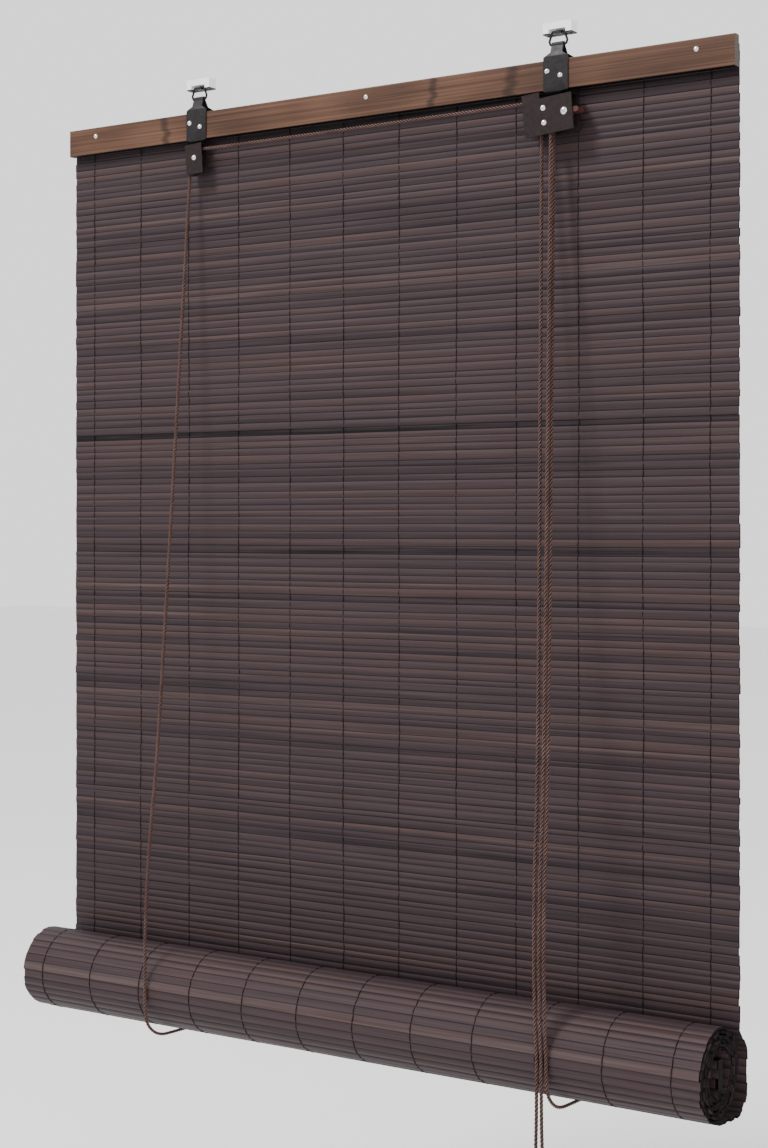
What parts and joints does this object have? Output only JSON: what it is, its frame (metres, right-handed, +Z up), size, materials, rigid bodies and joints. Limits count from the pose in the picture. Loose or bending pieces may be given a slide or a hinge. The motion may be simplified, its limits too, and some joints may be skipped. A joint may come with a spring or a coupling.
{
  "type": "bamboo roll-up blind",
  "caption": "Woven dark bamboo blind, partly rolled up from below, with a head rail, hooks, strap brackets, a pulley, a cord lock and pull cords.",
  "frame": {"origin": "on the ceiling plane, midway between the two hook blocks, above the line of the strap eyes", "axes": "+X along the head rail to the right seen from the front, +Y towards the wall, +Z up"},
  "size_m": [0.8, 0.1162, 1.15],
  "materials": {
    "white_plastic": "moulded, slightly soft sheen",
    "black_steel": "black lacquer over pressed sheet and wire",
    "bright_steel": "plated, bright",
    "wheel_plastic": "moulded nylon",
    "cam_plastic": "moulded, reddish brown",
    "rail_bamboo": "stained bamboo with visible grain and nodes",
    "dark_bamboo": "dark stained split bamboo, satin",
    "thread": "twisted thread",
    "cord": "twisted brown cord"
  },
  "bodies": {
    "hooks": {"left_hook_block": "white_plastic", "right_hook_block": "white_plastic", "left_hook_plate": "black_steel", "right_hook_plate": "black_steel"},
    "left_hanger": {"left_bail": "black_steel"},
    "right_hanger": {"right_bail": "black_steel"},
    "rail_group": {"head_rail": "rail_bamboo", "rail_nails": "bright_steel", "left_strap": "black_steel", "right_strap": "black_steel", "left_strap_rivets": "bright_steel", "right_strap_rivets": "bright_steel", "left_pulley_housing": "black_steel", "right_lock_housing": "black_steel", "left_axle_rivet": "bright_steel", "lock_axle_rivet": "bright_steel", "cam_rivet": "bright_steel", "guide_rivet": "bright_steel", "guide_spacer": "wheel_plastic", "rail_slats": "dark_bamboo", "hanging_slats": "dark_bamboo", "warp_threads": "thread", "cross_cord": "cord", "lock_cord": "cord", "left_lift_front": "cord", "right_lift_front": "cord", "left_lift_back": "cord", "right_lift_back": "cord", "left_back_knot": "cord", "right_back_knot": "cord", "pull_cord_front_upper": "cord", "pull_cord_rear_upper": "cord"},
    "left_pulley": {"left_wheel": "wheel_plastic"},
    "front_pulley": {"lock_wheel_front": "wheel_plastic"},
    "rear_pulley": {"lock_wheel_rear": "wheel_plastic"},
    "cam": {"lock_cam": "cam_plastic"},
    "loose_turn": {"lead_in_sheet": "dark_bamboo", "left_sling": "cord", "right_sling": "cord"},
    "roll": {"roll_turns": "dark_bamboo", "bottom_lath": "rail_bamboo"},
    "pull_ends": {"pull_cord_front_lower": "cord", "pull_cord_rear_lower": "cord", "pull_cord_front_hank": "cord", "pull_cord_rear_hank": "cord", "pull_cord_front_tie": "cord", "pull_cord_rear_tie": "cord"}
  },
  "joints": [
    {"name": "left_bail_swing", "type": "hinge", "parent": "hooks", "child": "left_hanger", "pos_m": [-0.218, 0, -0.0089], "axis": [1, 0, 0], "range_deg": [-25, 25]},
    {"name": "right_bail_swing", "type": "hinge", "parent": "hooks", "child": "right_hanger", "pos_m": [0.218, 0, -0.0089], "axis": [1, 0, 0], "range_deg": [-45, 45]},
    {"name": "blind_swing", "type": "hinge", "parent": "left_hanger", "child": "rail_group", "pos_m": [-0.218, 0, -0.021], "axis": [1, 0, 0], "range_deg": [-20, 20]},
    {"name": "roll_rise", "type": "slide", "parent": "rail_group", "child": "loose_turn", "axis": [0, 0, 1], "range_m": [0, 0.7], "deforming": ["hanging_slats", "warp_threads", "left_lift_front", "right_lift_front", "left_lift_back", "right_lift_back", "pull_cord_front_upper", "pull_cord_rear_upper"]},
    {"name": "roll_turn", "type": "hinge", "parent": "loose_turn", "child": "roll", "pos_m": [0, -0.0363, -0.9605], "axis": [1, 0, 0], "range_deg": [-970, 0]},
    {"name": "pull_down", "type": "slide", "parent": "loose_turn", "child": "pull_ends", "axis": [0, 0, -1], "range_m": [0, 2.1]},
    {"name": "left_wheel_spin", "type": "hinge", "parent": "rail_group", "child": "left_pulley", "pos_m": [-0.217, -0.006, -0.085], "axis": [0, 1, 0], "continuous": true},
    {"name": "front_wheel_spin", "type": "hinge", "parent": "rail_group", "child": "front_pulley", "pos_m": [0.21, -0.0119, -0.083], "axis": [0, 1, 0], "continuous": true},
    {"name": "rear_wheel_spin", "type": "hinge", "parent": "rail_group", "child": "rear_pulley", "pos_m": [0.21, -0.006, -0.083], "axis": [0, 1, 0], "continuous": true},
    {"name": "cam_release", "type": "hinge", "parent": "rail_group", "child": "cam", "pos_m": [0.2322, -0.0119, -0.088], "axis": [0, 1, 0], "range_deg": [-20, 0]}
  ],
  "couplings": [
    {"joint": "right_bail_swing", "follows": "left_bail_swing", "ratio": 1},
    {"joint": "roll_turn", "follows": "roll_rise", "rad_per_m": -23.981},
    {"joint": "pull_down", "follows": "roll_rise", "ratio": 3},
    {"joint": "left_wheel_spin", "follows": "roll_rise", "rad_per_m": 235.29},
    {"joint": "front_wheel_spin", "follows": "roll_rise", "rad_per_m": 307.69},
    {"joint": "rear_wheel_spin", "follows": "roll_rise", "rad_per_m": -307.69}
  ]
}
